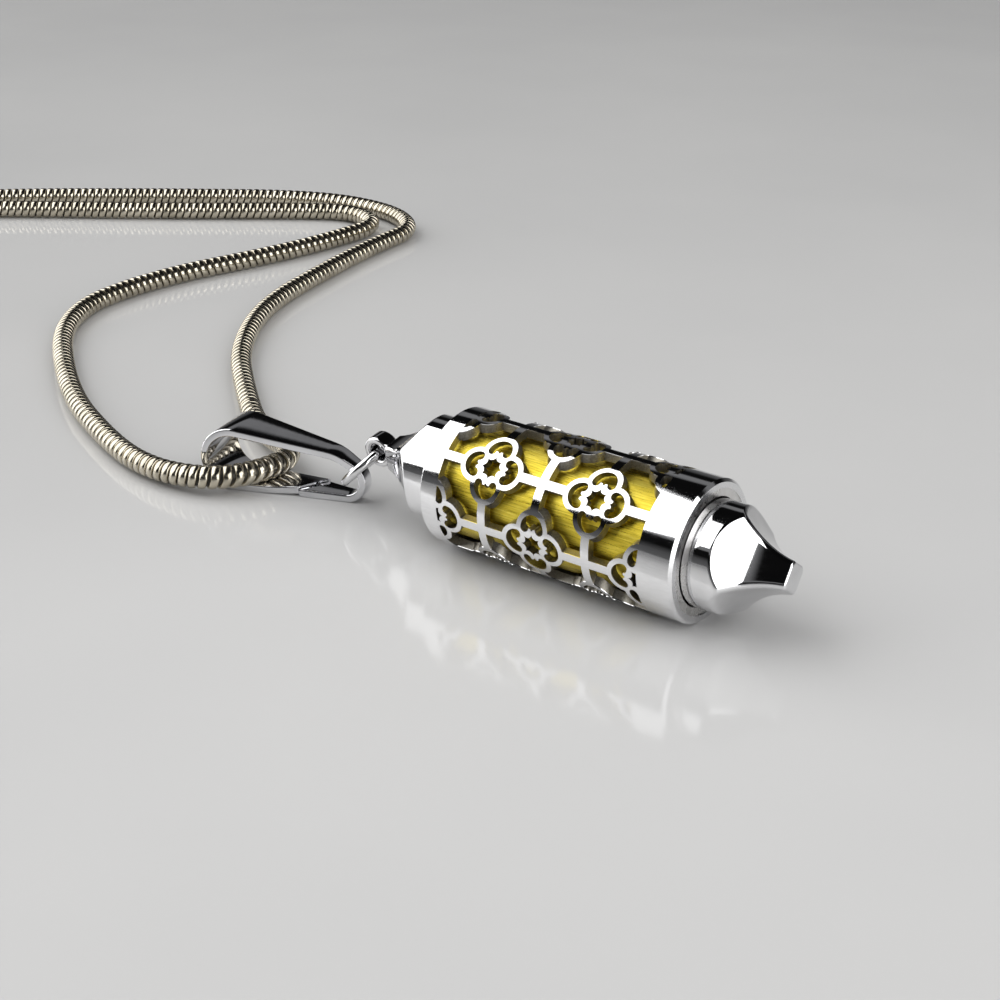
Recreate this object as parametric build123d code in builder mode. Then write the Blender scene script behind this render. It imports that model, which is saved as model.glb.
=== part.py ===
"""Mezuzah case pendant on a snake chain.

Millimetres, +Z up, the pendant lies on its side. The case axis runs along +X, the
screw cap points to +X. x = 0 is the rear rim of the sleeve while the shapes are made;
everything is moved to the base centre of the whole object when it is saved.
"""
import os
from math import cos, pi, radians, sin, tan

from build123d import *

os.makedirs("parts", exist_ok=True)

# base centre of the whole object
BASE_X = 2.225
BASE_Y = -0.19

# sleeve
SLEEVE_R = 5.25
SLEEVE_WALL = 0.65
SLEEVE_IN = SLEEVE_R - SLEEVE_WALL
SLEEVE_LEN = 21.8
REAR_COLLAR = 1.65
FRONT_COLLAR = 2.75
RIM_CHAMFER = 0.22

# lattice in the sleeve wall
ROW_STEP = 360 / 7
ROW_START = -2.7
ROWS = (-2, -1, 0, 1, 2, 3)
SEAM_ROW = 4
SEAM_WIDTH = 3.3
HALF_PITCH = 4.5
PATTERN_MID = 10.3
BAR = 0.68
LOBE_OFFSET = 1.31
LOBE_R = 1.34
KIDNEY_R = 0.97
KIDNEY_END_R = 0.34
STAR_TIP = 0.92
STAR_DIP = 0.63

# liner, bushings, scroll
LINER_OUT = 4.35
LINER_IN = 4.0
LINER_START = 0.35
LINER_END = 20.2
REAR_BUSH_LEN = 1.2
BUSH_FACE = 21.7
BUSH_SEAT = 20.7
BUSH_BODY_START = 16.4
COUNTERBORE_R = 4.0
THREAD_BORE_R = 3.26
SCROLL_START = 2.9
SCROLL_LEN = 12.9
SCROLL_SHEET = 0.16
SCROLL_TURNS = 4

# screw cap
SPIGOT_R = 3.2
SPIGOT_START = 16.9
CAP_R = 3.92
CAP_BASE = 21.2
CAP_FACET_ROLL = 54
CAP_SCOOP_START = 1.95
CAP_SCOOP_CORNER = 2.85
CAP_TIP = 6.5
TIP_HALF = 1.05
SEAL_IN = 3.28
SEAL_OUT = 3.9

# top cap and eye
TOP_R = 4.0
TOP_PLUG = 2.5
TOP_ROLL = 101
TOP_SCOOP_START = 2.5
TOP_SCOOP_CORNER = 3.4
NECK_END = 6.8
NECK_HALF = 1.05
EYE_X = -7.9
EYE_R = 1.3
EYE_HOLE_R = 0.74
EYE_HALF = 0.7

# bail
STRIP = 0.65
BAIL_H = 5.3
BELLY_R = BAIL_H / 2
ROOF_SLOPE = 7.3
ROOF_LEN = 7.7
SHOULDER_R = 4.0
CURL_LEAN = 30
CURL_R = 1.75
BAIL_TURN = 14.5
BAIL_TIP = (-9.75, 0.3)
BAIL_WIDE = 5.2
BAIL_NARROW = 0.95
SLIT_AT = 4.9
SLIT_GAP = 0.12

# jump ring
RING_MEAN_R = 2.2
RING_WIRE_R = 0.35
RING_EYE_SLACK = 0.15

# chain
CHAIN_D = 2.0
CHAIN_R = CHAIN_D / 2
COIL_MID = (-120.9, 4.9)
COIL_IN = 9.0
COIL_OUT = 13.0
COIL_BASE = 0.3
COIL_HEADING = 216.87
COIL_LEAD = 10.0
COIL_APPROACH = 17.0
INNER_LANE = 10.0
OUTER_LANE = 12.0
OVERLAP_ARC = 150
END_CAP_R = 1.3
END_CAP_BORE = 1.03
END_CAP_GRIP = 2.5
END_CAP_NOSE = 1.2
HOOP_R = 1.0
HOOP_WIRE_R = 0.28
TIE_WALL = 0.25
TIE_LEN = 2.0

CASE_Z = SLEEVE_R
LIE_Z = 1.3


def save(solid, name):
    solid.label = name
    placed = solid.moved(Location((-BASE_X, -BASE_Y, 0)))
    placed.label = name
    export_step(placed, "parts/" + name + ".step")
    print(name, round(solid.volume, 2), "mm3")


def across(x):
    """Plane square to the case axis at x."""
    return Plane(origin=(x, 0, CASE_Z), x_dir=(0, 1, 0), z_dir=(1, 0, 0))


def radial(angle, reach, x=0.0):
    """Tangent plane at a roll angle counted from the top towards -Y."""
    out = Vector(0, -sin(radians(angle)), cos(radians(angle)))
    start = Vector(x, 0, CASE_Z) + out * reach
    return Plane(origin=start, x_dir=(1, 0, 0), z_dir=out)


def flat(angle):
    return Vector(cos(radians(angle)), sin(radians(angle)), 0)


# ---------------------------------------------------------------- filigree sleeve
window_start = REAR_COLLAR
window_end = SLEEVE_LEN - FRONT_COLLAR
window_mid = (window_start + window_end) / 2
WALL_BELOW = 3.9
WALL_REACH = 2.0

with BuildPart() as lattice:
    with BuildSketch(across(-0.5)):
        Circle(SLEEVE_R + 0.5)
    extrude(amount=window_start + 0.5)
    with BuildSketch(across(window_end)):
        Circle(SLEEVE_R + 0.5)
    extrude(amount=FRONT_COLLAR + 0.5)
    for step in (-1, 0, 1):
        with BuildSketch(across(PATTERN_MID + step * HALF_PITCH - BAR / 2)):
            Circle(SLEEVE_R + 0.5)
        extrude(amount=BAR)
    for row in ROWS:
        angle = ROW_START + row * ROW_STEP
        with BuildSketch(radial(angle, WALL_BELOW, window_mid)):
            Rectangle(window_end - window_start + 1, BAR)
        extrude(amount=WALL_REACH)
        columns = (-1, 1) if row % 2 else (-2, 0, 2)
        for column in columns:
            with BuildSketch(radial(angle, WALL_BELOW, PATTERN_MID + column * HALF_PITCH)):
                Rectangle(2 * LOBE_OFFSET, 2 * LOBE_OFFSET)
                with PolarLocations(LOBE_OFFSET, 4):
                    Circle(LOBE_R)
            extrude(amount=WALL_REACH)
    with BuildSketch(radial(ROW_START + SEAM_ROW * ROW_STEP, WALL_BELOW, window_mid)):
        Rectangle(window_end - window_start + 1, SEAM_WIDTH)
    extrude(amount=WALL_REACH)

with BuildSketch() as kidney:
    Circle(KIDNEY_R)
    with Locations((-KIDNEY_R, 0)):
        Rectangle(2 * KIDNEY_R, 2.2 * KIDNEY_R, mode=Mode.SUBTRACT)
    with Locations((0, KIDNEY_R - KIDNEY_END_R), (0, KIDNEY_END_R - KIDNEY_R)):
        Circle(KIDNEY_END_R)
    with BuildLine():
        Polyline((0.01, 0.15), (-0.16, 0), (0.01, -0.15), close=True)
    make_face()

with BuildPart() as filigree_sleeve:
    with BuildSketch(across(0)):
        Circle(SLEEVE_R)
        Circle(SLEEVE_IN, mode=Mode.SUBTRACT)
    extrude(amount=SLEEVE_LEN)
    rims = filigree_sleeve.edges().filter_by(GeomType.CIRCLE)
    chamfer([e for e in rims if e.radius > SLEEVE_IN + 0.1], RIM_CHAMFER)
    add(lattice.part, mode=Mode.INTERSECT)
    for row in ROWS:
        angle = ROW_START + row * ROW_STEP
        columns = (-1, 1) if row % 2 else (-2, 0, 2)
        for column in columns:
            centre = PATTERN_MID + column * HALF_PITCH
            with BuildSketch(radial(angle, WALL_BELOW, centre)):
                with BuildLine():
                    for point in range(8):
                        a = 45 * point
                        ThreePointArc((STAR_TIP * cos(radians(a)), STAR_TIP * sin(radians(a))),
                                      (STAR_DIP * cos(radians(a + 22.5)), STAR_DIP * sin(radians(a + 22.5))),
                                      (STAR_TIP * cos(radians(a + 45)), STAR_TIP * sin(radians(a + 45))))
                make_face()
                with PolarLocations(LOBE_OFFSET, 4):
                    add(kidney.sketch)
                if abs(column) == 2:
                    side = 1 if column > 0 else -1
                    edge = window_end if column > 0 else window_start
                    with Locations((edge - centre + side * 3, 0)):
                        Rectangle(6, 8, mode=Mode.SUBTRACT)
            extrude(amount=WALL_REACH, mode=Mode.SUBTRACT)
save(filigree_sleeve.part, "filigree_sleeve")

# ---------------------------------------------------------------- liner and bushings
with BuildPart() as gold_liner:
    with BuildSketch(across(LINER_START)):
        Circle(LINER_OUT)
        Circle(LINER_IN, mode=Mode.SUBTRACT)
    extrude(amount=LINER_END - LINER_START)
save(gold_liner.part, "gold_liner")

with BuildPart() as rear_bushing:
    with BuildSketch(across(LINER_START)):
        Circle(SLEEVE_IN)
        Circle(LINER_OUT, mode=Mode.SUBTRACT)
    extrude(amount=REAR_BUSH_LEN)
save(rear_bushing.part, "rear_bushing")

with BuildPart() as threaded_bushing:
    with BuildSketch(across(LINER_END)):
        Circle(SLEEVE_IN)
    extrude(amount=BUSH_FACE - LINER_END)
    with BuildSketch(across(BUSH_BODY_START)):
        Circle(LINER_IN)
    extrude(amount=LINER_END - BUSH_BODY_START)
    with BuildSketch(across(BUSH_BODY_START)):
        Circle(THREAD_BORE_R)
    extrude(amount=BUSH_FACE - BUSH_BODY_START, mode=Mode.SUBTRACT)
    with BuildSketch(across(BUSH_SEAT)):
        Circle(COUNTERBORE_R)
    extrude(amount=BUSH_FACE - BUSH_SEAT, mode=Mode.SUBTRACT)
save(threaded_bushing.part, "threaded_bushing")

# ---------------------------------------------------------------- parchment scroll
scroll_step = 2 * SCROLL_SHEET
with BuildPart() as parchment_scroll:
    with BuildSketch(across(SCROLL_START)):
        with BuildLine():
            for half in range(2 * SCROLL_TURNS):
                r = LINER_IN - 0.09 - half * scroll_step / 2
                shift = 0 if half % 2 == 0 else -scroll_step / 2
                sign = 1 if half % 2 == 0 else -1
                ThreePointArc((shift - sign * r, 0), (shift, sign * r), (shift + sign * r, 0))
        trace(line_width=SCROLL_SHEET)
    extrude(amount=SCROLL_LEN)
save(parchment_scroll.part, "parchment_scroll")


# ---------------------------------------------------------------- faceted noses
def scoop_profile(start, high, corner, low, end, last):
    """Cutter above a concave arc: x runs along the nose, y away from the axis."""
    with BuildSketch(Plane.XY) as area:
        with BuildLine():
            arc = ThreePointArc((start, high), (corner, low), (end, last))
            Polyline(arc @ 1, (end + 0.6, last), (end + 0.6, high + 2), (start - 0.3, high + 2),
                     (start - 0.3, high + 0.35), arc @ 0)
        make_face()
    return area.sketch


def nose_plane(origin_x, sense, roll):
    """Side view plane of a nose: local x along the nose, local y outwards at the roll angle."""
    out = Vector(0, -sin(radians(roll)), cos(radians(roll)))
    return Plane(origin=(origin_x, 0, CASE_Z), x_dir=(sense, 0, 0), z_dir=Vector(sense, 0, 0).cross(out))


cap_cut = scoop_profile(CAP_SCOOP_START, CAP_R, CAP_SCOOP_CORNER, CAP_R * cos(pi / 4), CAP_TIP, TIP_HALF)
with BuildPart() as screw_cap:
    with BuildSketch(across(CAP_BASE)):
        Circle(CAP_R)
    extrude(amount=SLEEVE_LEN + CAP_TIP - CAP_BASE)
    for facet in range(4):
        with BuildSketch(nose_plane(SLEEVE_LEN, 1, CAP_FACET_ROLL + 90 * facet)):
            add(cap_cut)
        extrude(amount=CAP_R + 1, both=True, mode=Mode.SUBTRACT)
    with BuildSketch(across(SPIGOT_START)):
        Circle(SPIGOT_R)
    extrude(amount=CAP_BASE - SPIGOT_START)
    chamfer(screw_cap.faces().sort_by(Axis.X)[0].edges(), 0.35)
save(screw_cap.part, "screw_cap")

with BuildPart() as cap_seal_ring:
    with BuildSketch(across(BUSH_SEAT + 0.04)):
        Circle(SEAL_OUT)
        Circle(SEAL_IN, mode=Mode.SUBTRACT)
    extrude(amount=CAP_BASE - BUSH_SEAT - 0.08)
    fillet(cap_seal_ring.edges(), 0.12)
save(cap_seal_ring.part, "cap_seal_ring")

top_cut = scoop_profile(TOP_SCOOP_START, TOP_R, TOP_SCOOP_CORNER, TOP_R * cos(pi / 4), NECK_END, NECK_HALF)
eye_dir = Vector(0, -sin(radians(TOP_ROLL)), cos(radians(TOP_ROLL)))
eye_mid = Vector(EYE_X, 0, CASE_Z)
with BuildPart() as top_cap:
    with BuildSketch(across(-NECK_END)):
        Circle(TOP_R)
    extrude(amount=NECK_END + TOP_PLUG)
    for facet in range(4):
        with BuildSketch(nose_plane(0, -1, TOP_ROLL + 90 * facet)):
            add(top_cut)
        extrude(amount=TOP_R + 1, both=True, mode=Mode.SUBTRACT)
    with BuildSketch(Plane(origin=eye_mid - eye_dir * EYE_HALF, x_dir=(1, 0, 0), z_dir=eye_dir)):
        Circle(EYE_R)
        with Locations((EYE_R / 2, 0)):
            Rectangle(EYE_R, 2 * NECK_HALF)
    extrude(amount=2 * EYE_HALF)
    with BuildSketch(Plane(origin=eye_mid - eye_dir * (EYE_HALF + 1), x_dir=(1, 0, 0), z_dir=eye_dir)):
        Circle(EYE_HOLE_R)
    extrude(amount=2 * EYE_HALF + 2, mode=Mode.SUBTRACT)
    hole_rims = [e for e in top_cap.edges().filter_by(GeomType.CIRCLE) if abs(e.radius - EYE_HOLE_R) < 0.01]
    fillet(hole_rims, 0.22)
save(top_cap.part, "top_cap")

# ---------------------------------------------------------------- bail
bail_dir = flat(BAIL_TURN)
bail_side = flat(BAIL_TURN + 90)
with BuildLine() as bail_outline:
    belly = JernArc((BELLY_R, 0), (-1, 0), BELLY_R, -180 - ROOF_SLOPE)
    roof = Line(belly @ 1, belly @ 1 + belly % 1 * ROOF_LEN)
    shoulder = JernArc(roof @ 1, roof % 1, SHOULDER_R, ROOF_SLOPE - CURL_LEAN)
    drop = (shoulder @ 1).Y - CURL_R * (1 + cos(radians(CURL_LEAN)))
    lead = Line(shoulder @ 1, shoulder @ 1 + shoulder % 1 * (drop / sin(radians(CURL_LEAN))))
    curl = JernArc(lead @ 1, lead % 1, CURL_R, CURL_LEAN - 180)
    Line(curl @ 1, belly @ 0)
BAIL_LEN = (curl @ 1).X + CURL_R
print("bail length", round(BAIL_LEN, 2))
bail_start = Vector(BAIL_TIP[0], BAIL_TIP[1], 0) - bail_dir * BAIL_LEN
bail_plane = Plane(origin=bail_start, x_dir=bail_dir, z_dir=bail_dir.cross(Vector(0, 0, 1)))
with BuildPart() as bail:
    with BuildSketch(bail_plane):
        with BuildLine():
            add(bail_outline.line)
        make_face()
        offset(amount=-STRIP, mode=Mode.SUBTRACT)
    extrude(amount=BAIL_WIDE, both=True)
    with BuildSketch(Plane(origin=bail_start, x_dir=bail_dir, z_dir=(0, 0, 1))):
        Polygon((-0.5, -BAIL_WIDE / 2), (BAIL_LEN + 0.5, -BAIL_NARROW / 2),
                (BAIL_LEN + 0.5, BAIL_NARROW / 2), (-0.5, BAIL_WIDE / 2), align=None)
    extrude(amount=BAIL_H + 1, mode=Mode.INTERSECT)
    slit_mid = bail_start + bail_dir * (BAIL_LEN - SLIT_AT)
    with BuildSketch(Plane(origin=slit_mid, x_dir=flat(BAIL_TURN + 55), z_dir=(0, 0, 1))):
        Rectangle(8, SLIT_GAP)
    extrude(amount=STRIP + 0.5, mode=Mode.SUBTRACT)
save(bail.part, "bail")

# ---------------------------------------------------------------- jump ring
curl_mid = Vector(BAIL_TIP[0], BAIL_TIP[1], CURL_R) - bail_dir * CURL_R
reach = (eye_mid - curl_mid).normalized()
ring_mid = eye_mid - reach * (RING_EYE_SLACK + RING_MEAN_R)
wire_dir = bail_side - eye_dir
wire_dir = (wire_dir - reach * wire_dir.dot(reach)).normalized()
print("eye to curl", round((eye_mid - curl_mid).length, 3))
with BuildPart() as jump_ring:
    with BuildSketch(Plane(origin=ring_mid + reach * RING_MEAN_R, x_dir=reach, z_dir=wire_dir)):
        Circle(RING_WIRE_R)
    ring_turn = Axis(ring_mid, reach.cross(wire_dir))
    revolve(axis=ring_turn, revolution_arc=360)
save(jump_ring.part, "jump_ring")


# ---------------------------------------------------------------- chain
def route_radii(points):
    radii = []
    for a, b, c in zip(points, points[1:], points[2:]):
        first = (Vector(*b) - Vector(*a))
        second = (Vector(*c) - Vector(*b))
        half = radians(first.get_angle(second)) / 2
        radii.append(0.45 * min(first.length, second.length) / tan(half))
    return radii


def chain_tube(points, name):
    radii = route_radii(points)
    with BuildPart() as tube:
        with BuildLine() as route:
            FilletPolyline(*points, radius=radii)
        path = route.wire()
        with BuildSketch(Plane(origin=path @ 0, z_dir=path % 0)):
            Circle(CHAIN_R)
        sweep(path=path)
    print(name, "length", round(path.length, 1), "volume over section x length",
          round(tube.part.volume / (pi * CHAIN_R ** 2 * path.length), 3),
          "radii", [round(r, 1) for r in radii])
    save(tube.part, name)
    return path


heading = flat(COIL_HEADING)
outward = flat(COIL_HEADING - 90)


def lane_point(lane, along, z):
    place = Vector(COIL_MID[0], COIL_MID[1], z) + outward * lane + heading * along
    return tuple(place)


BEHIND_BAIL = (-29.3, 6.95, 1.1)
near_points = [
    BEHIND_BAIL,
    (-25.6, 3.9, 1.2),
    (-18.0, 1.1, 1.7),
    (-18.3, -3.9, 1.7),
    (-20.9, -6.9, 1.6),
    (-26.5, -7.5, 1.2),
    (-33.5, -5.6, 1.0),
    (-46.0, 0.2, 1.0),
    (-62.6, 13.6, 1.0),
    (-63.9, 27.5, 1.0),
    (-59.6, 41.5, 1.0),
    (-58.2, 50.0, 1.0),
    (-57.9, 57.3, 1.0),
    (-63.4, 59.7, 1.0),
    (-68.5, 57.0, 1.0),
    (-81.5, 47.0, 1.0),
    (-99.5, 34.6, 1.0),
    lane_point(INNER_LANE, -COIL_APPROACH, LIE_Z),
    lane_point(INNER_LANE, -COIL_LEAD, LIE_Z),
]
far_points = [
    BEHIND_BAIL,
    (-33.0, 10.0, 1.0),
    (-41.0, 17.2, 1.0),
    (-48.2, 28.0, 1.0),
    (-51.3, 41.5, 1.0),
    (-53.0, 51.0, 1.0),
    (-53.4, 58.6, 1.0),
    (-60.5, 62.8, 1.0),
    (-71.5, 61.8, 1.0),
    (-86.5, 51.4, 1.0),
    (-103.0, 38.9, 1.0),
    lane_point(OUTER_LANE, -COIL_APPROACH, LIE_Z),
    lane_point(OUTER_LANE, -COIL_LEAD, LIE_Z),
]
chain_tube(near_points, "chain_near_run")
chain_tube(far_points, "chain_far_run")

coil_mid = Vector(COIL_MID[0], COIL_MID[1], COIL_BASE)
band_mid = (COIL_IN + COIL_OUT) / 2
with BuildPart() as chain_coil:
    with BuildSketch(Plane(origin=coil_mid)):
        Circle(COIL_OUT)
        Circle(COIL_IN, mode=Mode.SUBTRACT)
    extrude(amount=CHAIN_D)
    with BuildSketch(Plane(origin=coil_mid + outward * band_mid, x_dir=heading)):
        with Locations((-COIL_LEAD / 2, 0)):
            Rectangle(COIL_LEAD, COIL_OUT - COIL_IN)
    extrude(amount=CHAIN_D)
    overlap_start = flat(COIL_HEADING - 90 - OVERLAP_ARC)
    with BuildSketch(Plane(origin=coil_mid + Vector(0, 0, CHAIN_D), x_dir=overlap_start,
                           z_dir=Vector(0, 0, 1).cross(overlap_start))):
        with Locations((band_mid, -CHAIN_D / 2)):
            Rectangle(COIL_OUT - COIL_IN, CHAIN_D)
    revolve(axis=Axis(coil_mid, (0, 0, 1)), revolution_arc=OVERLAP_ARC)
    with BuildSketch(Plane(origin=coil_mid + outward * band_mid + Vector(0, 0, CHAIN_D), x_dir=heading)):
        with Locations((COIL_LEAD / 2, 0)):
            Rectangle(COIL_LEAD, COIL_OUT - COIL_IN)
    extrude(amount=CHAIN_D)
save(chain_coil.part, "chain_coil")

top_layer = COIL_BASE + 1.5 * CHAIN_D
TAIL_SPREAD = 22


def tail_points(lane, spread):
    start = Vector(*lane_point(lane, COIL_LEAD, top_layer))
    ahead = start + heading * 6
    turned = flat(COIL_HEADING + spread)
    low = Vector(ahead.X, ahead.Y, LIE_Z) + turned * 8
    last = low + turned * 6
    return [tuple(start), tuple(ahead), tuple(low), tuple(last)], turned


clasp_tail, clasp_dir = tail_points(OUTER_LANE, -TAIL_SPREAD)
ring_tail, ring_dir = tail_points(INNER_LANE, TAIL_SPREAD)
chain_tube(clasp_tail, "chain_tail_clasp")
chain_tube(ring_tail, "chain_tail_ring")


def end_cap(tip, turned, name):
    tip = Vector(*tip)
    hoop_mid = tip + turned * (END_CAP_NOSE + HOOP_R - HOOP_WIRE_R)
    side = turned.cross(Vector(0, 0, 1))
    with BuildPart() as cap:
        with BuildSketch(Plane(origin=tip - turned * END_CAP_GRIP, z_dir=turned)):
            Circle(END_CAP_R)
        extrude(amount=END_CAP_GRIP + END_CAP_NOSE)
        fillet(cap.edges(), 0.25)
        with BuildSketch(Plane(origin=tip - turned * END_CAP_GRIP, z_dir=turned)):
            Circle(END_CAP_BORE)
        extrude(amount=END_CAP_GRIP, mode=Mode.SUBTRACT)
        with BuildSketch(Plane(origin=hoop_mid + turned * HOOP_R, x_dir=turned, z_dir=(0, 0, 1))):
            Circle(HOOP_WIRE_R)
        revolve(axis=Axis(hoop_mid, side), revolution_arc=360)
    save(cap.part, name)
    return hoop_mid


def wire_ring(mid, radius, wire, plane_x, plane_normal, name):
    along = plane_normal.cross(plane_x)
    with BuildPart() as ring:
        with BuildSketch(Plane(origin=mid + plane_x * radius, x_dir=plane_x, z_dir=along)):
            Circle(wire)
        revolve(axis=Axis(mid, plane_normal), revolution_arc=360)
    save(ring.part, name)


clasp_hoop = end_cap(clasp_tail[-1], clasp_dir, "end_cap_clasp")
ring_hoop = end_cap(ring_tail[-1], ring_dir, "end_cap_ring")

END_RING_R = 2.15
END_RING_WIRE = 0.35
END_RING_TILT = 12.2
slope = ring_dir * cos(radians(END_RING_TILT)) - Vector(0, 0, sin(radians(END_RING_TILT)))
lift = ring_dir * sin(radians(END_RING_TILT)) + Vector(0, 0, cos(radians(END_RING_TILT)))
wire_ring(ring_hoop + slope * END_RING_R, END_RING_R, END_RING_WIRE, slope, lift, "end_ring")

CLASP_RING_R = 1.6
CLASP_RING_WIRE = 0.3
up = Vector(0, 0, 1)
wire_ring(clasp_hoop + clasp_dir * CLASP_RING_R, CLASP_RING_R, CLASP_RING_WIRE, clasp_dir, up, "clasp_ring")

# ---------------------------------------------------------------- lobster clasp
CLASP_HALF = 1.1
CLASP_LEN = 10.2
PIVOT = (3.0, -1.0)
PIN_R = 0.4
SLOT_HALF = 0.5
LEVER_HALF = 0.42
clasp_base = clasp_hoop + clasp_dir * (2 * CLASP_RING_R)
claw_start = HOOP_R - HOOP_WIRE_R + 0.1


def clasp_level(z):
    return Plane(origin=clasp_base + clasp_dir * claw_start + Vector(0, 0, z), x_dir=clasp_dir, z_dir=(0, 0, 1))


with BuildPart() as clasp_body:
    with BuildSketch(clasp_level(-CLASP_HALF)):
        with BuildLine():
            Spline((0, 0.7), (2.2, 2.1), (6.6, 3.1), (9.6, 1.8), (CLASP_LEN, -0.3), (9.3, -2.2),
                   tangents=((0.4, 1, 0), (-0.9, -0.5, 0)))
            Polyline((9.3, -2.2), (8.6, -1.7))
            Spline((8.6, -1.7), (9.0, -0.2), (8.5, 1.3), (6.6, 1.9), (4.9, 1.2), (4.6, 0.3),
                   tangents=((0.6, 1, 0), (-0.2, -1, 0)))
            Polyline((4.6, 0.3), (4.6, -1.1), (4.3, -2.3))
            Spline((4.3, -2.3), (2.4, -2.4), (0, -0.7), tangents=((-1, -0.3, 0), (-0.4, 1, 0)))
            Line((0, -0.7), (0, 0.7))
        make_face()
    extrude(amount=2 * CLASP_HALF)
    with BuildSketch(clasp_level(-SLOT_HALF)):
        with Locations((3.6, -2.0)):
            Rectangle(5.2, 4.0)
    extrude(amount=2 * SLOT_HALF, mode=Mode.SUBTRACT)
    with BuildSketch(clasp_level(-CLASP_HALF)):
        with Locations(PIVOT):
            Circle(PIN_R)
    extrude(amount=2 * CLASP_HALF, mode=Mode.SUBTRACT)
    hoop_side = clasp_dir.cross(up)
    with BuildSketch(Plane(origin=clasp_base + clasp_dir * HOOP_R, x_dir=clasp_dir, z_dir=(0, 0, 1))):
        Circle(HOOP_WIRE_R)
    revolve(axis=Axis(clasp_base, hoop_side), revolution_arc=360)
save(clasp_body.part, "clasp_body")

with BuildPart() as clasp_lever:
    with BuildSketch(clasp_level(-LEVER_HALF)):
        with Locations(PIVOT):
            Circle(0.95)
        with BuildLine():
            Polyline((3.2, -0.25), (5.4, -0.9), (8.0, -1.55), (8.5, -2.3), (5.6, -2.1),
                     (4.6, -2.5), (3.6, -4.0), (2.6, -3.9), (2.7, -1.9), close=True)
        make_face()
    extrude(amount=2 * LEVER_HALF)
    with BuildSketch(clasp_level(-LEVER_HALF)):
        with Locations(PIVOT):
            Circle(PIN_R + 0.05)
    extrude(amount=2 * LEVER_HALF, mode=Mode.SUBTRACT)
save(clasp_lever.part, "clasp_lever")

with BuildPart() as clasp_pin:
    with BuildSketch(clasp_level(-CLASP_HALF)):
        with Locations(PIVOT):
            Circle(PIN_R)
    extrude(amount=2 * CLASP_HALF)
save(clasp_pin.part, "clasp_pin")

# ---------------------------------------------------------------- coil tie
TIE_AT = COIL_HEADING - 90 + 100
TIE_ROOM = 0.1
tie_out = flat(TIE_AT)
tie_mid = Vector(COIL_MID[0], COIL_MID[1], COIL_BASE + CHAIN_R) + tie_out * band_mid
with BuildPart() as coil_tie:
    with BuildSketch(Plane(origin=tie_mid, x_dir=tie_out, z_dir=flat(TIE_AT + 90))):
        RectangleRounded(COIL_OUT - COIL_IN + 2 * (TIE_ROOM + TIE_WALL), CHAIN_D + 2 * (0.04 + TIE_WALL), 0.4)
        Rectangle(COIL_OUT - COIL_IN + 2 * TIE_ROOM, CHAIN_D + 2 * 0.04, mode=Mode.SUBTRACT)
    extrude(amount=TIE_LEN / 2, both=True)
save(coil_tie.part, "coil_tie")
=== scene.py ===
"""Looks of the mezuzah case pendant on its snake chain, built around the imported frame."""
from math import atan2, cos, hypot, pi, radians, sin, sqrt, tan

import bpy
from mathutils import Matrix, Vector


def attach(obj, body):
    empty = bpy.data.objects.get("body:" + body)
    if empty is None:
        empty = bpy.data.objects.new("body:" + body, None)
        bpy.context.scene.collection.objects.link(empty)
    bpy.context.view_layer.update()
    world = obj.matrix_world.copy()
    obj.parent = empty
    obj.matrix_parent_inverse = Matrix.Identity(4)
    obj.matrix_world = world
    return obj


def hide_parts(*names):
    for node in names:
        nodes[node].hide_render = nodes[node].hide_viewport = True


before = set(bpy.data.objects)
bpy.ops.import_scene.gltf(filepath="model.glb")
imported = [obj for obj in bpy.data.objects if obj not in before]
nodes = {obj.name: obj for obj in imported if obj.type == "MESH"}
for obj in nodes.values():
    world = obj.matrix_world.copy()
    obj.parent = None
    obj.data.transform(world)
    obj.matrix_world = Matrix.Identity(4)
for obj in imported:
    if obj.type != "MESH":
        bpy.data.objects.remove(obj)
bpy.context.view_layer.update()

# Shapes are worked out in millimetres, in coordinates where the case's axis runs along X,
# x is 0 at the sleeve's rear rim and z is 0 on the table. BASE is the frame's origin there.
MM = 0.001
BASE_X = 2.225
BASE_Y = -0.19
AXIS_Z = 5.25
SLEEVE_R = 5.25
SLEEVE_LEN = 21.8


def place(x, y, z):
    """A point of the millimetre coordinates in the frame's metres."""
    return Vector(((x - BASE_X) * MM, (y - BASE_Y) * MM, z * MM))


def flat(angle):
    """A level direction, at an angle in degrees from +X."""
    return Vector((cos(radians(angle)), sin(radians(angle)), 0))


# ---------------------------------------------------------------- materials
# a colour Mix node's sockets, which share their names with its other kinds' sockets
MIX_LOW, MIX_HIGH, MIX_RESULT = 6, 7, 2


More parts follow.
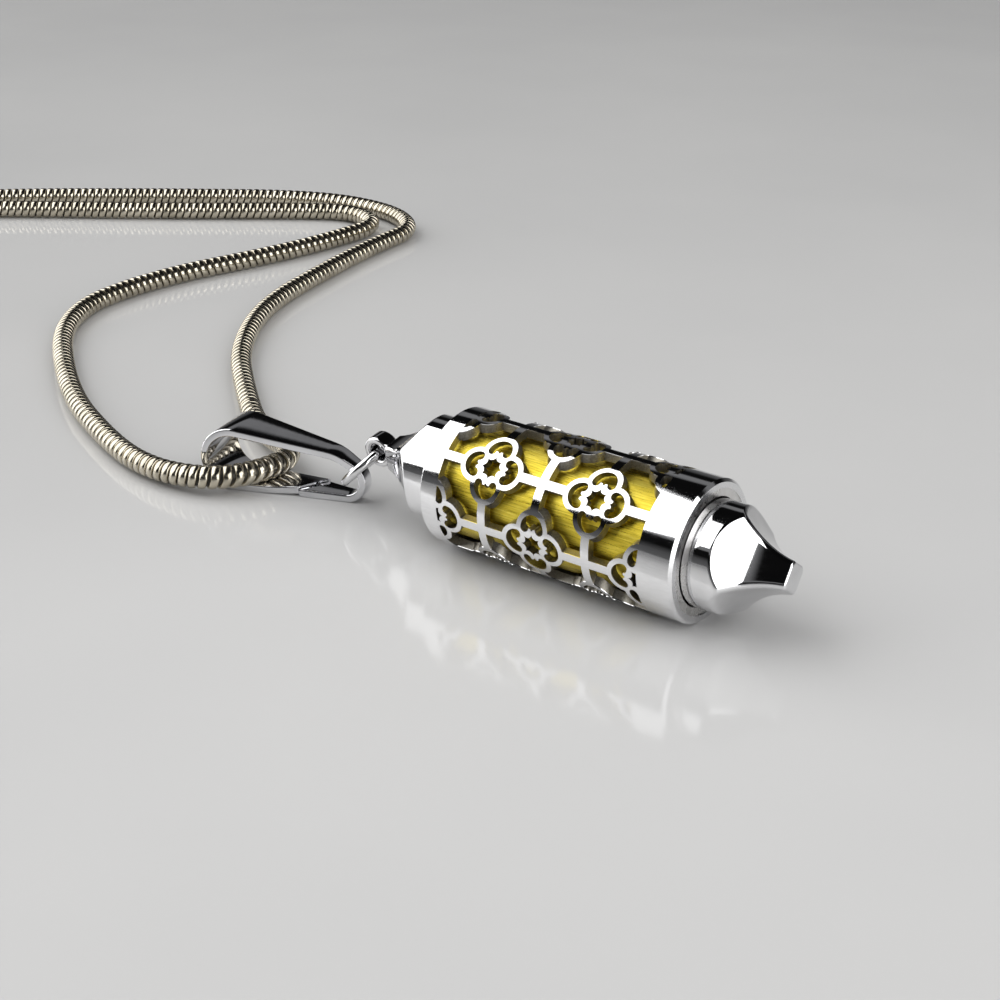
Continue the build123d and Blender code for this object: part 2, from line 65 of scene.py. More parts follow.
class Shader:
    """A small helper round one material's node tree."""

    def __init__(self, name):
        self.material = bpy.data.materials.new(name)
        self.material.use_nodes = True
        self.nodes = self.material.node_tree.nodes
        self.links = self.material.node_tree.links
        self.bsdf = self.nodes["Principled BSDF"]

    def set(self, **values):
        for key, value in values.items():
            self.bsdf.inputs[key.replace("_", " ")].default_value = value

    def link(self, output, target):
        self.links.new(output, target)

    def coordinates(self, scale=(1, 1, 1)):
        """Object coordinates in millimetres, stretched by scale."""
        source = self.nodes.new("ShaderNodeTexCoord")
        mapping = self.nodes.new("ShaderNodeMapping")
        mapping.inputs["Scale"].default_value = [s / MM for s in scale]
        self.link(source.outputs["Object"], mapping.inputs["Vector"])
        return mapping.outputs["Vector"]

    def noise(self, vector, scale, detail=3.0, roughness=0.5, distortion=0.0):
        node = self.nodes.new("ShaderNodeTexNoise")
        node.inputs["Scale"].default_value = scale
        node.inputs["Detail"].default_value = detail
        node.inputs["Roughness"].default_value = roughness
        node.inputs["Distortion"].default_value = distortion
        self.link(vector, node.inputs["Vector"])
        return node.outputs["Fac"]

    def spread(self, value, low, high, from_low=0.3, from_high=0.7):
        """value, mostly between from_low and from_high, moved to low...high."""
        node = self.nodes.new("ShaderNodeMapRange")
        node.inputs["From Min"].default_value = from_low
        node.inputs["From Max"].default_value = from_high
        node.inputs["To Min"].default_value = low
        node.inputs["To Max"].default_value = high
        self.link(value, node.inputs["Value"])
        return node.outputs["Result"]

    def colours(self, value, stops):
        node = self.nodes.new("ShaderNodeValToRGB")
        ramp = node.color_ramp
        while len(ramp.elements) < len(stops):
            ramp.elements.new(0.5)
        for element, (place_on_ramp, colour) in zip(ramp.elements, stops):
            element.position = place_on_ramp
            element.color = (*colour, 1)
        self.link(value, node.inputs["Fac"])
        return node.outputs["Color"]

    def math(self, operation, first, second=None):
        node = self.nodes.new("ShaderNodeMath")
        node.operation = operation
        for socket, value in zip(node.inputs, (first, second)):
            if value is None:
                continue
            if isinstance(value, (int, float)):
                socket.default_value = value
            else:
                self.link(value, socket)
        return node.outputs[0]

    def bump(self, height, strength, distance):
        node = self.nodes.new("ShaderNodeBump")
        node.inputs["Strength"].default_value = strength
        node.inputs["Distance"].default_value = distance * MM
        self.link(height, node.inputs["Height"])
        self.link(node.outputs["Normal"], self.bsdf.inputs["Normal"])

    def mix(self, factor, low, high):
        node = self.nodes.new("ShaderNodeMix")
        node.data_type = "RGBA"
        self.link(factor, node.inputs["Factor"])
        for socket, value in ((node.inputs[MIX_LOW], low), (node.inputs[MIX_HIGH], high)):
            if isinstance(value, tuple):
                socket.default_value = (*value, 1)
            else:
                self.link(value, socket)
        return node.outputs[MIX_RESULT]


def polished_steel(name, bright=(0.83, 0.83, 0.84), dull=(0.74, 0.74, 0.75), rough=(0.03, 0.075)):
    """Mirror-like steel with a faint cloud in its tone and fine wiping marks."""
    shader = Shader(name)
    shader.set(Metallic=1.0)
    cloud = shader.noise(shader.coordinates(), 0.45, detail=4)
    shader.link(shader.colours(cloud, ((0.3, dull), (0.65, bright))), shader.bsdf.inputs["Base Color"])
    fine = shader.noise(shader.coordinates((0.6, 3.0, 3.0)), 2.2, detail=5, roughness=0.6)
    shader.link(shader.spread(fine, *rough), shader.bsdf.inputs["Roughness"])
    shader.bump(fine, 0.02, 0.02)
    return shader.material


# how the sleeve's steel tells its mirror skin and its turned end face from the cut walls
SKIN_FROM, SKIN_TO = 0.07, 0.03
RIM_DEEP = 0.4
END_FACE_DEEP = 0.02


def sleeve_steel():
    """Mirror outside, satin on the turned end face, and a dark grey-brown on the cut walls of the pattern
    that is painted shade and a painted reflection of the gold liner.
    """
    shader = Shader("sleeve_steel")
    shader.set(Metallic=1.0)
    where = shader.nodes.new("ShaderNodeSeparateXYZ")
    shader.link(shader.coordinates(), where.inputs["Vector"])
    up = shader.math("SUBTRACT", where.outputs["Z"], AXIS_Z)
    side = shader.math("ADD", where.outputs["Y"], BASE_Y)
    reach = shader.math("SQRT", shader.math("ADD", shader.math("MULTIPLY", up, up),
                                            shader.math("MULTIPLY", side, side)))
    outside = shader.spread(reach, 0, 1, SLEEVE_R - SKIN_FROM, SLEEVE_R - SKIN_TO)
    front = shader.math("GREATER_THAN", where.outputs["X"], SLEEVE_LEN - RIM_DEEP - BASE_X)
    turned_face = shader.math("GREATER_THAN", where.outputs["X"], SLEEVE_LEN - END_FACE_DEEP - BASE_X)
    rear = shader.math("LESS_THAN", where.outputs["X"], RIM_DEEP - BASE_X)
    mirror = shader.math("MAXIMUM", outside, shader.math("MAXIMUM", front, rear))
    fine = shader.noise(shader.coordinates((0.6, 3.0, 3.0)), 2.2, detail=5, roughness=0.6)
    grit = shader.noise(shader.coordinates(), 9.0, detail=4, roughness=0.7)
    # the cut walls' dark grey-brown is painted shade and a painted reflection of the gold liner, not the
    # steel's own colour
    wall_painted_shade_and_reflection = shader.colours(grit, ((0.3, (0.20, 0.185, 0.155)), (0.7, (0.42, 0.40, 0.35))))
    face = shader.colours(fine, ((0.3, (0.78, 0.78, 0.79)), (0.65, (0.84, 0.84, 0.85))))
    shader.link(shader.mix(mirror, wall_painted_shade_and_reflection, face), shader.bsdf.inputs["Base Color"])
    smooth = shader.math("ADD", shader.spread(fine, 0.03, 0.07), shader.math("MULTIPLY", turned_face, 0.2))
    rough = shader.spread(grit, 0.28, 0.5)
    blend = shader.math("ADD", shader.math("MULTIPLY", smooth, mirror),
                        shader.math("MULTIPLY", rough, shader.math("SUBTRACT", 1.0, mirror)))
    shader.link(blend, shader.bsdf.inputs["Roughness"])
    shader.bump(grit, 0.05, 0.02)
    return shader.material


def lined_gold():
    """Yellow gold with fine brush lines along the tube."""
    shader = Shader("lined_gold")
    shader.set(Metallic=1.0)
    lines = shader.noise(shader.coordinates((0.16, 4.2, 4.2)), 1.9, detail=6, roughness=0.72)
    broad = shader.noise(shader.coordinates((0.3, 1.2, 1.2)), 0.9, detail=2)
    tone = shader.math("ADD", shader.math("MULTIPLY", lines, 0.75), shader.math("MULTIPLY", broad, 0.25))
    stops = ((0.34, (0.36, 0.27, 0.02)), (0.5, (0.80, 0.62, 0.06)), (0.64, (0.98, 0.84, 0.16)))
    shader.link(shader.colours(tone, stops), shader.bsdf.inputs["Base Color"])
    shader.link(shader.spread(lines, 0.22, 0.42), shader.bsdf.inputs["Roughness"])
    shader.bump(lines, 0.55, 0.05)
    return shader.material


def satin_steel():
    """Turned steel with fine lines round the tube."""
    shader = Shader("satin_steel")
    shader.set(Metallic=1.0)
    turned = shader.noise(shader.coordinates((7, 0.5, 0.5)), 2.0, detail=4)
    shader.link(shader.colours(turned, ((0.3, (0.66, 0.65, 0.63)), (0.7, (0.80, 0.79, 0.78)))),
                shader.bsdf.inputs["Base Color"])
    shader.link(shader.spread(turned, 0.22, 0.36), shader.bsdf.inputs["Roughness"])
    shader.bump(turned, 0.12, 0.02)
    return shader.material


def soft_material(name, stops, rough, scale, metallic=0.0, height=0.2):
    """A grained material, with its colour and roughness spread over one noise."""
    shader = Shader(name)
    shader.set(Metallic=metallic)
    grain = shader.noise(shader.coordinates(), scale, detail=6, roughness=0.65)
    shader.link(shader.colours(grain, stops), shader.bsdf.inputs["Base Color"])
    shader.link(shader.spread(grain, *rough), shader.bsdf.inputs["Roughness"])
    shader.bump(grain, height, 0.05)
    return shader.material


steel = polished_steel("polished_steel")
bail_steel = polished_steel("bail_steel", (0.80, 0.80, 0.82), (0.70, 0.70, 0.72), (0.04, 0.09))
chain_steel = polished_steel("chain_steel", (0.64, 0.59, 0.485), (0.46, 0.42, 0.335), (0.14, 0.26))
clasp_steel = polished_steel("clasp_steel", (0.80, 0.79, 0.78), (0.68, 0.67, 0.66), (0.06, 0.13))
# the core's near-black colour is painted shade, seen in the gaps between the chain's plates
chain_core_shade = soft_material("chain_core_shade", ((0.3, (0.02, 0.018, 0.015)), (0.7, (0.07, 0.065, 0.055))),
                           (0.35, 0.55), 2.5, metallic=0.7)
parchment = soft_material("parchment", ((0.3, (0.52, 0.42, 0.26)), (0.7, (0.78, 0.69, 0.51))),
                          (0.7, 0.9), 1.2)
rubber = soft_material("seal_rubber", ((0.3, (0.012, 0.012, 0.012)), (0.7, (0.03, 0.03, 0.03))),
                       (0.55, 0.75), 3.0)
tie_plastic = soft_material("tie_plastic", ((0.3, (0.62, 0.61, 0.58)), (0.7, (0.78, 0.77, 0.75))),
                            (0.3, 0.45), 0.8, height=0.05)

finishes = {
    "filigree_sleeve": sleeve_steel(), "gold_liner": lined_gold(), "rear_bushing": satin_steel(),
    "threaded_bushing": satin_steel(), "parchment_scroll": parchment, "cap_seal_ring": rubber,
    "top_cap": steel, "jump_ring": steel, "screw_cap": steel, "bail": bail_steel,
    "end_cap_clasp": clasp_steel, "end_cap_ring": clasp_steel, "end_ring": clasp_steel,
    "clasp_ring": clasp_steel, "clasp_body": clasp_steel, "clasp_lever": clasp_steel,
    "clasp_pin": clasp_steel, "coil_tie": tie_plastic,
}
for node, finish in finishes.items():
    part = nodes[node]
    part.data.materials.clear()
    part.data.materials.append(finish)


# ---------------------------------------------------------------- mesh helpers
def make_piece(name, vertices, faces, material, sharp):
    """A smooth-shaded mesh object, with its edges sharp above an angle in degrees."""
    mesh = bpy.data.meshes.new(name)
    mesh.from_pydata(vertices, [], faces)
    mesh.validate()
    mesh.polygons.foreach_set("use_smooth", [True] * len(mesh.polygons))
    mesh.set_sharp_from_angle(angle=radians(sharp))
    mesh.materials.append(material)
    piece = bpy.data.objects.new(name, mesh)
    bpy.context.scene.collection.objects.link(piece)
    return piece


def skin(rings):
    """Vertices and faces of closed rings joined one to the next, with both ends filled."""
    count = len(rings[0])
    vertices = [v for ring in rings for v in ring]
    faces = []
    for level in range(len(rings) - 1):
        low = level * count
        for i in range(count):
            j = (i + 1) % count
            faces.append((low + i, low + j, low + count + j, low + count + i))
    faces.append(tuple(reversed(range(count))))
    faces.append(tuple(range(len(vertices) - count, len(vertices))))
    return vertices, faces


# ---------------------------------------------------------------- screw cap
CAP_R = 3.92
CAP_BASE = 21.2
CAP_ROLL = 54
SPIGOT_START = 16.9
SPIGOT_R = 3.2
THREAD_PITCH = 0.75
THREAD_DEPTH = 0.3
AROUND = 192
RIDGE_R = 0.42
NOSE_STEPS = 110
NOSE_LEAD_IN = 0.35
NOSE_LEAD_SLOPE = 1.9
NOSE_BLEND = 0.3
TIP_LIP = 0.2


def arc_height(start, middle, end):
    """Height of a circle through three profile points, as a function of x."""
    (ax, ay), (bx, by), (cx, cy) = start, middle, end
    d = 2 * (ax * (by - cy) + bx * (cy - ay) + cx * (ay - by))
    ux = ((ax**2 + ay**2) * (by - cy) + (bx**2 + by**2) * (cy - ay) + (cx**2 + cy**2) * (ay - by)) / d
    uy = ((ax**2 + ay**2) * (cx - bx) + (bx**2 + by**2) * (ax - cx) + (cx**2 + cy**2) * (bx - ax)) / d
    r = hypot(ax - ux, ay - uy)
    return lambda x: uy - sqrt(max(r * r - (x - ux) ** 2, 0))


def square_reach(turn, half, corner):
    """Distance from the axis to a rounded square, at a turn from one side's middle."""
    turn = atan2(abs(sin(turn)), abs(cos(turn)))
    c, s = cos(turn), sin(turn)
    corner = min(corner, half)
    if c > 1e-6 and half * s / c <= half - corner:
        return half / c
    if s > 1e-6 and half * c / s <= half - corner:
        return half / s
    middle = half - corner
    along = middle * c + middle * s
    return along + sqrt(max(corner**2 - (middle * middle + middle * middle - along**2), 0))


def soft_least(a, b, blend):
    """The lesser of two heights, rounded where they cross."""
    gap = max(blend - abs(a - b), 0) / blend
    return min(a, b) - gap * gap * blend / 4


def nose_ring(x, reach_at, roll):
    """A closed ring round the case's axis at x, with its reach given as a function of the turn."""
    ring = []
    for step in range(AROUND):
        angle = radians(roll) + 2 * pi * step / AROUND
        reach = reach_at(2 * pi * step / AROUND)
        ring.append(place(x, -sin(angle) * reach, AXIS_Z + cos(angle) * reach))
    return ring


def nose_rings(origin, sense, roll, body_r, profile, ridge):
    """Rings of a faceted nose: four hollow facets that run from a cylinder to a square tip."""
    (knee, _), _, (end, _) = profile
    scoop = arc_height(*profile)
    rings = []
    start = knee - NOSE_LEAD_IN
    for i in range(NOSE_STEPS + 1):
        x = start + (end - TIP_LIP - start) * i / NOSE_STEPS
        half = scoop(x) if x > knee else body_r + (knee - x) * NOSE_LEAD_SLOPE
        corner = min(ridge, half * 0.4)

        def reach(turn, half=half, corner=corner):
            return soft_least(body_r, square_reach(turn, half, corner), NOSE_BLEND)
        rings.append(nose_ring(origin + sense * x, reach, roll))
    for lean in (22.5, 45, 67.5, 90):
        inset = TIP_LIP * (1 - cos(radians(lean)))
        x = end - TIP_LIP + TIP_LIP * sin(radians(lean))
        half = scoop(min(x, end)) - inset

        def tip(turn, half=half):
            return square_reach(turn, half, ridge)
        rings.append(nose_ring(origin + sense * x, tip, roll))
    return rings


# the facets' middle line: where it leaves the cylinder, where the four facets meet, the tip
CAP_PROFILE = ((1.95, CAP_R), (2.85, CAP_R * cos(pi / 4)), (6.5, 1.05))
THREAD_STEPS = 120
THREAD_LEAD_IN = 0.5
SPIGOT_CHAMFER = 0.35
SPIGOT_NECK_R = SPIGOT_R - 0.3


def build_screw_cap():
    """The screw cap: threaded spigot, seat and faceted nose, as one closed turned shape."""
    rings = []

    def plain(x, reach):
        rings.append(nose_ring(x, lambda turn: reach, CAP_ROLL))

    plain(SPIGOT_START, SPIGOT_R - SPIGOT_CHAMFER)
    thread_start = SPIGOT_START + 0.05
    thread_end = CAP_BASE - 0.7
    for i in range(THREAD_STEPS + 1):
        x = thread_start + (thread_end - thread_start) * i / THREAD_STEPS
        fade = min(1, (x - SPIGOT_START) / THREAD_LEAD_IN)

        def thread(turn, x=x, fade=fade):
            wave = ((x / THREAD_PITCH + turn / (2 * pi)) % 1) * 2 - 1
            return SPIGOT_R - SPIGOT_CHAMFER * (1 - fade) - THREAD_DEPTH * fade * (1 - abs(wave))
        rings.append(nose_ring(x, thread, CAP_ROLL))
    plain(thread_end + 0.1, SPIGOT_NECK_R)
    plain(CAP_BASE - 0.01, SPIGOT_NECK_R)
    plain(CAP_BASE, CAP_R - 0.12)
    plain(CAP_BASE + 0.04, CAP_R - 0.035)
    plain(CAP_BASE + 0.12, CAP_R)
    plain(SLEEVE_LEN + 1.0, CAP_R)
    rings += nose_rings(SLEEVE_LEN, 1, CAP_ROLL, CAP_R, CAP_PROFILE, RIDGE_R)
    cap = make_piece("screw_cap_polished", *skin(rings), steel, sharp=38)
    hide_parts("screw_cap")
    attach(cap, "cap")


build_screw_cap()

# ---------------------------------------------------------------- top cap and eye
TOP_R = 4.0
TOP_PLUG = 2.5
TOP_PLUG_CHAMFER = 0.25
TOP_ROLL = 101
TOP_RIDGE_R = 0.3
TOP_PROFILE = ((2.5, TOP_R), (3.4, TOP_R * cos(pi / 4)), (6.8, 1.05))
EYE_X = -7.9
EYE_R = 1.3
EYE_HOLE_R = 0.74
EYE_HALF = 0.7
EYE_CORNER = 0.2
EYE_STEPS = 72


def eye_shell(first):
    """A flat ring with rounded rims round the eye's axis, its vertices numbered from first."""
    normal = Vector((0, -sin(radians(TOP_ROLL)), cos(radians(TOP_ROLL))))
    side = Vector((1, 0, 0))
    other = normal.cross(side)
    middle = place(EYE_X, 0, AXIS_Z)
    outline = []
    for quarter, (edge, out) in enumerate(((EYE_R, 1), (EYE_HOLE_R, -1), (EYE_HOLE_R, -1), (EYE_R, 1))):
        face = 1 if quarter < 2 else -1
        for step in range(6):
            a = radians(90 * quarter + 18 * step)
            outline.append((edge - out * EYE_CORNER + EYE_CORNER * cos(a),
                            face * (EYE_HALF - EYE_CORNER) + EYE_CORNER * sin(a)))
    vertices, faces = [], []
    for i in range(EYE_STEPS):
        a = 2 * pi * i / EYE_STEPS
        arm = side * cos(a) + other * sin(a)
        for reach, height in outline:
            vertices.append(middle + (arm * reach + normal * height) * MM)
    count = len(outline)
    for i in range(EYE_STEPS):
        j = (i + 1) % EYE_STEPS
        for k in range(count):
            m = (k + 1) % count
            faces.append((first + i * count + k, first + j * count + k,
                          first + j * count + m, first + i * count + m))
    return vertices, faces


def build_top_cap():
    """The top cap: plug and faceted neck in one closed shell, which the eye's shell overlaps."""
    rings = [nose_ring(TOP_PLUG, lambda turn: TOP_R - TOP_PLUG_CHAMFER, TOP_ROLL),
             nose_ring(TOP_PLUG - TOP_PLUG_CHAMFER, lambda turn: TOP_R, TOP_ROLL)]
    rings += nose_rings(0, -1, TOP_ROLL, TOP_R, TOP_PROFILE, TOP_RIDGE_R)
    neck_end = TOP_PROFILE[2][0]
    root = EYE_HALF - 0.03
    rings.append(nose_ring(-neck_end - 0.25, lambda turn: square_reach(turn, root, EYE_CORNER), TOP_ROLL))
    rings.reverse()
    vertices, faces = skin(rings)
    more, ring_faces = eye_shell(len(vertices))
    cap = make_piece("top_cap_polished", vertices + more, faces + ring_faces, steel, sharp=38)
    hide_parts("top_cap")
    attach(cap, "case")


build_top_cap()

# ---------------------------------------------------------------- bail
STRIP = 0.65
BAIL_TURN = 14.5
BAIL_TIP = (-9.75, 0.3)
BAIL_R = 2.65
ROOF_SLOPE = 7.3
ROOF_LEN = 7.7
SHOULDER_R = 4.0
CURL_LEAN = 30
CURL_R = 1.75
BAIL_LEN = 13.91
# the lower arm bends up a little towards the slit, so that its end shows from above
ARM_LIFT = 0.22
ARM_STEPS = 12
STRIP_CORNER = 0.14
SLIT_AT = BAIL_LEN - 4.9
SLIT_GAP = 0.12
SLIT_SLOPE = 1 / tan(radians(55))
BAIL_WIDE = 5.2
BAIL_NARROW = 0.95


def bail_line():
    """Centreline of the strip in its side view, from the slit round to the slit."""
    x, z, heading = SLIT_AT - SLIT_GAP / 2, STRIP / 2, 180.0
    points = [(x, z, heading)]

    def forward(length, steps):
        nonlocal x, z
        for _ in range(steps):
            x += cos(radians(heading)) * length / steps
            z += sin(radians(heading)) * length / steps
            points.append((x, z, heading))

    def turn(radius, angle, steps):
        nonlocal x, z, heading
        for _ in range(steps):
            chord = 2 * radius * sin(radians(angle / steps / 2))
            heading -= angle / steps / 2
            x += cos(radians(heading)) * chord
            z += sin(radians(heading)) * chord
            heading -= angle / steps / 2
            points.append((x, z, heading))

    forward(SLIT_AT - SLIT_GAP / 2 - BAIL_R, ARM_STEPS)
    turn(BAIL_R - STRIP / 2, 180 + ROOF_SLOPE, 50)
    forward(ROOF_LEN, 12)
    turn(SHOULDER_R - STRIP / 2, CURL_LEAN - ROOF_SLOPE, 16)
    drop = z - STRIP / 2 - (CURL_R - STRIP / 2) * (1 + cos(radians(CURL_LEAN)))
    forward(drop / sin(radians(CURL_LEAN)), 4)
    turn(CURL_R - STRIP / 2, 180 - CURL_LEAN, 40)
    forward(BAIL_LEN - CURL_R - SLIT_AT - SLIT_GAP / 2, 8)
    return points


def build_bail():
    """The bail: a strip that tapers towards the curl, bent round from the slit to the slit."""
    along, across = flat(BAIL_TURN), flat(BAIL_TURN + 90)
    start = Vector((*BAIL_TIP, 0)) - along * BAIL_LEN
    rings = []
    line = bail_line()
    arm_end = line[0][0]
    for count, (x, z, heading) in enumerate(line):
        half = (BAIL_WIDE - (BAIL_WIDE - BAIL_NARROW) * (x + 0.5) / (BAIL_LEN + 1)) / 2
        out = Vector((-sin(radians(heading)), cos(radians(heading))))
        lower = z < 0.5
        ring = []
        for quarter, (side, face) in enumerate(((1, 1), (-1, 1), (-1, -1), (1, -1))):
            for step in range(5):
                a = radians(90 * quarter + 22.5 * step)
                v = side * (half - STRIP_CORNER) + STRIP_CORNER * cos(a)
                u = face * (STRIP / 2 - STRIP_CORNER) + STRIP_CORNER * sin(a)
                weight = max(0, 1 - abs(x - SLIT_AT) / 3) if lower else 0
                px = x + out.x * u + SLIT_SLOPE * v * weight
                pz = z + out.y * u
                if count <= ARM_STEPS:
                    pz += ARM_LIFT * max(0, (x - BAIL_R) / (arm_end - BAIL_R)) ** 2
                point = start + along * px + across * v
                ring.append(place(point.x, point.y, pz))
        rings.append(ring)
    piece = make_piece("bail_polished", *skin(rings), bail_steel, sharp=50)
    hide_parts("bail")
    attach(piece, "bail_and_chain")


build_bail()

# ---------------------------------------------------------------- snake chain
CHAIN_D = 2.0
COIL_MID = Vector((-120.9, 4.9, 0))
HEADING = 216.87
heading = flat(HEADING)
outward = flat(HEADING - 90)
LEAD_OUT = 10.0
LOW_Z = 1.3
HIGH_Z = 3.3
INNER_LANE = 10.0
OUTER_LANE = 12.0
TAIL_SPREAD = 22
LINK_PITCH = 0.85
BEHIND_BAIL = (-29.3, 6.95, 1.1)

# the routes of the two strands up to the coil, chosen along the photo's chain
near_run = [
    BEHIND_BAIL, (-25.6, 3.9, 1.2), (-18.0, 1.1, 1.7), (-18.3, -3.9, 1.7), (-20.9, -6.9, 1.6),
    (-26.5, -7.5, 1.2), (-33.5, -5.6, 1.0), (-46.0, 0.2, 1.0), (-62.6, 13.6, 1.0), (-63.9, 27.5, 1.0),
    (-59.6, 41.5, 1.0), (-58.2, 50.0, 1.0), (-57.9, 57.3, 1.0), (-63.4, 59.7, 1.0), (-68.5, 57.0, 1.0),
    (-81.5, 47.0, 1.0), (-99.5, 34.6, 1.0),
]
far_run = [
    BEHIND_BAIL, (-33.0, 10.0, 1.0), (-41.0, 17.2, 1.0), (-48.2, 28.0, 1.0), (-51.3, 41.5, 1.0),
    (-53.0, 51.0, 1.0), (-53.4, 58.6, 1.0), (-60.5, 62.8, 1.0), (-71.5, 61.8, 1.0), (-86.5, 51.4, 1.0),
    (-103.0, 38.9, 1.0),
]


def lane_point(lane, along, z):
    """A point beside the coil, on the straight lane that touches it."""
    return COIL_MID + outward * lane + heading * along + Vector((0, 0, z))


def coil_route(lane, spread):
    """The strand's way into the coil, once round it and out to its end fitting."""
    points = [lane_point(lane, -17, LOW_Z), lane_point(lane, -LEAD_OUT, LOW_Z)]
    sides = 18
    corner_r = lane / cos(pi / sides)
    for i in range(sides):
        angle = HEADING - 90 + (i + 0.5) * 360 / sides
        z = LOW_Z + (HIGH_Z - LOW_Z) * min(1, max(0, (i - 8) / 3))
        points.append(COIL_MID + flat(angle) * corner_r + Vector((0, 0, z)))
    ahead = lane_point(lane, LEAD_OUT + 6, HIGH_Z)
    turned = flat(HEADING + spread)
    low = Vector((ahead.x, ahead.y, LOW_Z)) + turned * 8
    points += [lane_point(lane, LEAD_OUT, HIGH_Z), ahead, low, low + turned * 6]
    return points


def strand(name, route):
    """The strand's centreline, read back from an open spline through its route."""
    data = bpy.data.curves.new(name + "_line", "CURVE")
    data.dimensions = "3D"
    data.resolution_u = 24
    spline = data.splines.new("NURBS")
    spline.points.add(len(route) - 1)
    for knot, point in zip(spline.points, route):
        knot.co = (*place(*point), 1)
    spline.order_u = 3
    spline.use_endpoint_u = True
    guide = bpy.data.objects.new(name + "_line", data)
    bpy.context.scene.collection.objects.link(guide)
    bpy.context.view_layer.update()
    mesh = bpy.data.meshes.new_from_object(guide.evaluated_get(bpy.context.evaluated_depsgraph_get()))
    points = [v.co.copy() for v in mesh.vertices]
    bpy.data.meshes.remove(mesh)
    bpy.data.objects.remove(guide)
    return points


def along_line(points, step):
    """Places and directions every step along a line."""
    total = sum((b - a).length for a, b in zip(points, points[1:]))
    count = round(total / step)
    step = total / count
    found = []
    wanted = step / 2
    done = 0.0
    for a, b in zip(points, points[1:]):
        length = (b - a).length
        while wanted <= done + length and len(found) < count:
            found.append((a.lerp(b, (wanted - done) / length), (b - a).normalized()))
            wanted += step
        done += length
    return total, found


# one plate's section: distance along the chain in millimetres, reach as a share of the radius
LINK_PROFILE = ((-0.35, 0.68), (-0.35, 0.89), (-0.28, 0.965), (0.0, 1.0),
                (0.28, 0.965), (0.35, 0.89), (0.35, 0.68))
LINK_SIDES = 32
# the bend in each plate sits this far round from the top
LINK_RIDGE = radians(78.75)
LINK_SLANT = 0.62
LINK_FLAT = 0.03
CORE_R = 0.74
CORE_SIDES = 12


def smoothed_directions(places):
    """Each place's direction, averaged with its neighbours'."""
    raw = [d for _, d in places]
    count = len(raw)
    return [(raw[max(i - 1, 0)] + raw[i] + raw[min(i + 1, count - 1)]).normalized() for i in range(count)]


def build_strand(name, route):
    """One strand of the snake chain: a slanted plate at every step, over a near-black core that is painted
    shade between the plates.
    """
    points = strand(name, route)
    total, places = along_line(points, LINK_PITCH * MM)
    up = Vector((0, 0, 1))
    vertices, faces = [], []
    for (centre, _), ahead in zip(places, smoothed_directions(places)):
        side = ahead.cross(up).normalized()
        top = side.cross(ahead)
        first = len(vertices)
        for i in range(LINK_SIDES):
            a = 2 * pi * i / LINK_SIDES
            down = min(a, 2 * pi - a)
            wave = LINK_SLANT * (max(down - LINK_RIDGE, 0) / (pi - LINK_RIDGE) - 0.3)
            flatness = 1 - LINK_FLAT * sin(min(down / LINK_RIDGE, (pi - down) / (pi - LINK_RIDGE)) * pi) ** 2
            for shift, reach in LINK_PROFILE:
                radial = (side * sin(a) + top * cos(a)) * reach * flatness * CHAIN_D / 2
                vertices.append(centre + (ahead * (shift + wave) + radial) * MM)
        rows = len(LINK_PROFILE)
        for i in range(LINK_SIDES):
            j = (i + 1) % LINK_SIDES
            for k in range(rows - 1):
                faces.append((first + i * rows + k, first + i * rows + k + 1,
                              first + j * rows + k + 1, first + j * rows + k))
    links = make_piece(name + "_links", vertices, faces, chain_steel, sharp=60)
    core_rings = []
    for (centre, _), ahead in zip(places, smoothed_directions(places)):
        side = ahead.cross(up).normalized()
        top = side.cross(ahead)
        ring = []
        for i in range(CORE_SIDES):
            a = 2 * pi * i / CORE_SIDES
            ring.append(centre + (side * sin(a) + top * cos(a)) * CORE_R * MM)
        core_rings.append(ring)
    shade_core = make_piece(name + "_core", *skin(core_rings), chain_core_shade, sharp=60)
    for piece in (links, shade_core):
        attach(piece, "bail_and_chain")
    print(name, "length", round(total / MM, 1), "links", len(places))
    return links


near_links = build_strand("near_strand", near_run + [tuple(p) for p in coil_route(INNER_LANE, TAIL_SPREAD)])
far_links = build_strand("far_strand", far_run + [tuple(p) for p in coil_route(OUTER_LANE, -TAIL_SPREAD)])
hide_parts("chain_near_run", "chain_coil", "chain_tail_ring")
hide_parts("chain_far_run", "chain_tail_clasp")

# ---------------------------------------------------------------- floor
# in metres
FLOOR_HALF = 4.0
floor_mesh = bpy.data.meshes.new("floor")
floor_mesh.from_pydata([(-FLOOR_HALF, -FLOOR_HALF, 0), (FLOOR_HALF, -FLOOR_HALF, 0),
                        (FLOOR_HALF, FLOOR_HALF, 0), (-FLOOR_HALF, FLOOR_HALF, 0)], [], [(0, 1, 2, 3)])
floor = bpy.data.objects.new("floor", floor_mesh)
bpy.context.scene.collection.objects.link(floor)
acrylic = Shader("floor_acrylic")
acrylic.set(Base_Color=(0.56, 0.555, 0.55, 1), Roughness=0.09, IOR=1.5, Specular_IOR_Level=0.36)
haze = acrylic.noise(acrylic.coordinates(), 0.02, detail=3)
acrylic.link(acrylic.colours(haze, ((0.3, (0.55, 0.548, 0.545)), (0.7, (0.58, 0.577, 0.572)))),
             acrylic.bsdf.inputs["Base Color"])
acrylic.link(acrylic.spread(haze, 0.06, 0.12), acrylic.bsdf.inputs["Roughness"])
floor_mesh.materials.append(acrylic.material)


# ---------------------------------------------------------------- studio
def softbox(name, azimuth, elevation, distance, width, height, power):
    """A rectangular panel facing the object. Azimuth 0 is towards -Y, 90 towards +X."""
    light = bpy.data.lights.new(name, "AREA")
    light.shape = "RECTANGLE"
    light.size = width
    light.size_y = height
    light.energy = power
    lamp = bpy.data.objects.new(name, light)
    a, e = radians(azimuth), radians(elevation)
    back = Vector((sin(a) * cos(e), -cos(a) * cos(e), sin(e)))
    lamp.location = back * distance
    lamp.rotation_mode = "QUATERNION"
    lamp.rotation_quaternion = back.to_track_quat("Z", "Y")
    lamp.visible_camera = False
    bpy.context.scene.collection.objects.link(lamp)
    return lamp


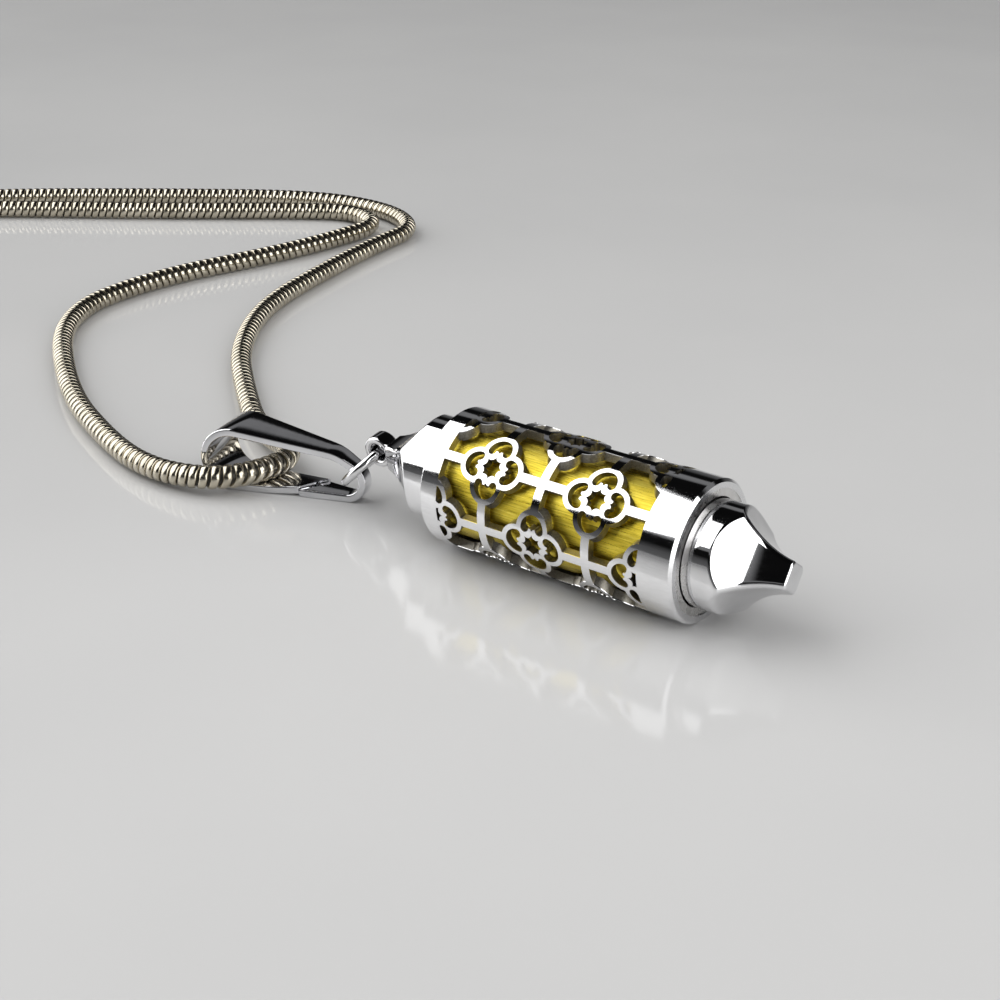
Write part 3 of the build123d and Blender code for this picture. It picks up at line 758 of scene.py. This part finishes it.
softbox("left_panel", -71, 34, 1.0, 1.32, 1.28, 12.5)
softbox("right_panel", 82, 26, 1.0, 1.1, 1.0, 9)
overhead = softbox("overhead_fill", 0, 89, 1.2, 2.0, 2.0, 11)
overhead.visible_glossy = False

world = bpy.data.worlds.new("studio")
bpy.context.scene.world = world
world.use_nodes = True
tree = world.node_tree
direction = tree.nodes.new("ShaderNodeTexCoord")
split = tree.nodes.new("ShaderNodeSeparateXYZ")
ramp = tree.nodes.new("ShaderNodeValToRGB")
# grey by the height of the direction: 0 is the horizon and everything below it, 1 is straight up
room_greys = ((0.0, 0.10), (0.14, 0.07), (0.26, 0.004), (0.42, 0.004),
              (0.45, 0.17), (0.56, 0.17), (0.61, 0.004), (1.0, 0.003))
while len(ramp.color_ramp.elements) < len(room_greys):
    ramp.color_ramp.elements.new(0.5)
for element, (height, grey) in zip(ramp.color_ramp.elements, room_greys):
    element.position = height
    element.color = (grey, grey, grey * 1.02, 1)
tree.links.new(direction.outputs["Generated"], split.inputs["Vector"])
tree.links.new(split.outputs["Z"], ramp.inputs["Fac"])
# the open background is pale to look at; the ramp is what the metal mirrors
path = tree.nodes.new("ShaderNodeLightPath")
seen = tree.nodes.new("ShaderNodeMix")
seen.data_type = "RGBA"
seen.inputs[MIX_HIGH].default_value = (0.42, 0.415, 0.41, 1)
tree.links.new(path.outputs["Is Camera Ray"], seen.inputs["Factor"])
tree.links.new(ramp.outputs["Color"], seen.inputs[MIX_LOW])
tree.links.new(seen.outputs[MIX_RESULT], tree.nodes["Background"].inputs["Color"])
tree.nodes["Background"].inputs["Strength"].default_value = 1.0

# ---------------------------------------------------------------- camera
camera_data = bpy.data.cameras.new("camera")
camera = bpy.data.objects.new("camera", camera_data)
bpy.context.scene.collection.objects.link(camera)
bpy.context.scene.camera = camera
camera_data.lens = 64.6
camera_data.sensor_width = 36
camera_data.clip_start = 0.005
camera_data.clip_end = 30
camera.location = (0.07477, -0.09649, 0.06072)
camera.rotation_euler = (radians(64.99), 0, radians(37.22))

bpy.context.scene.view_settings.view_transform = "Standard"
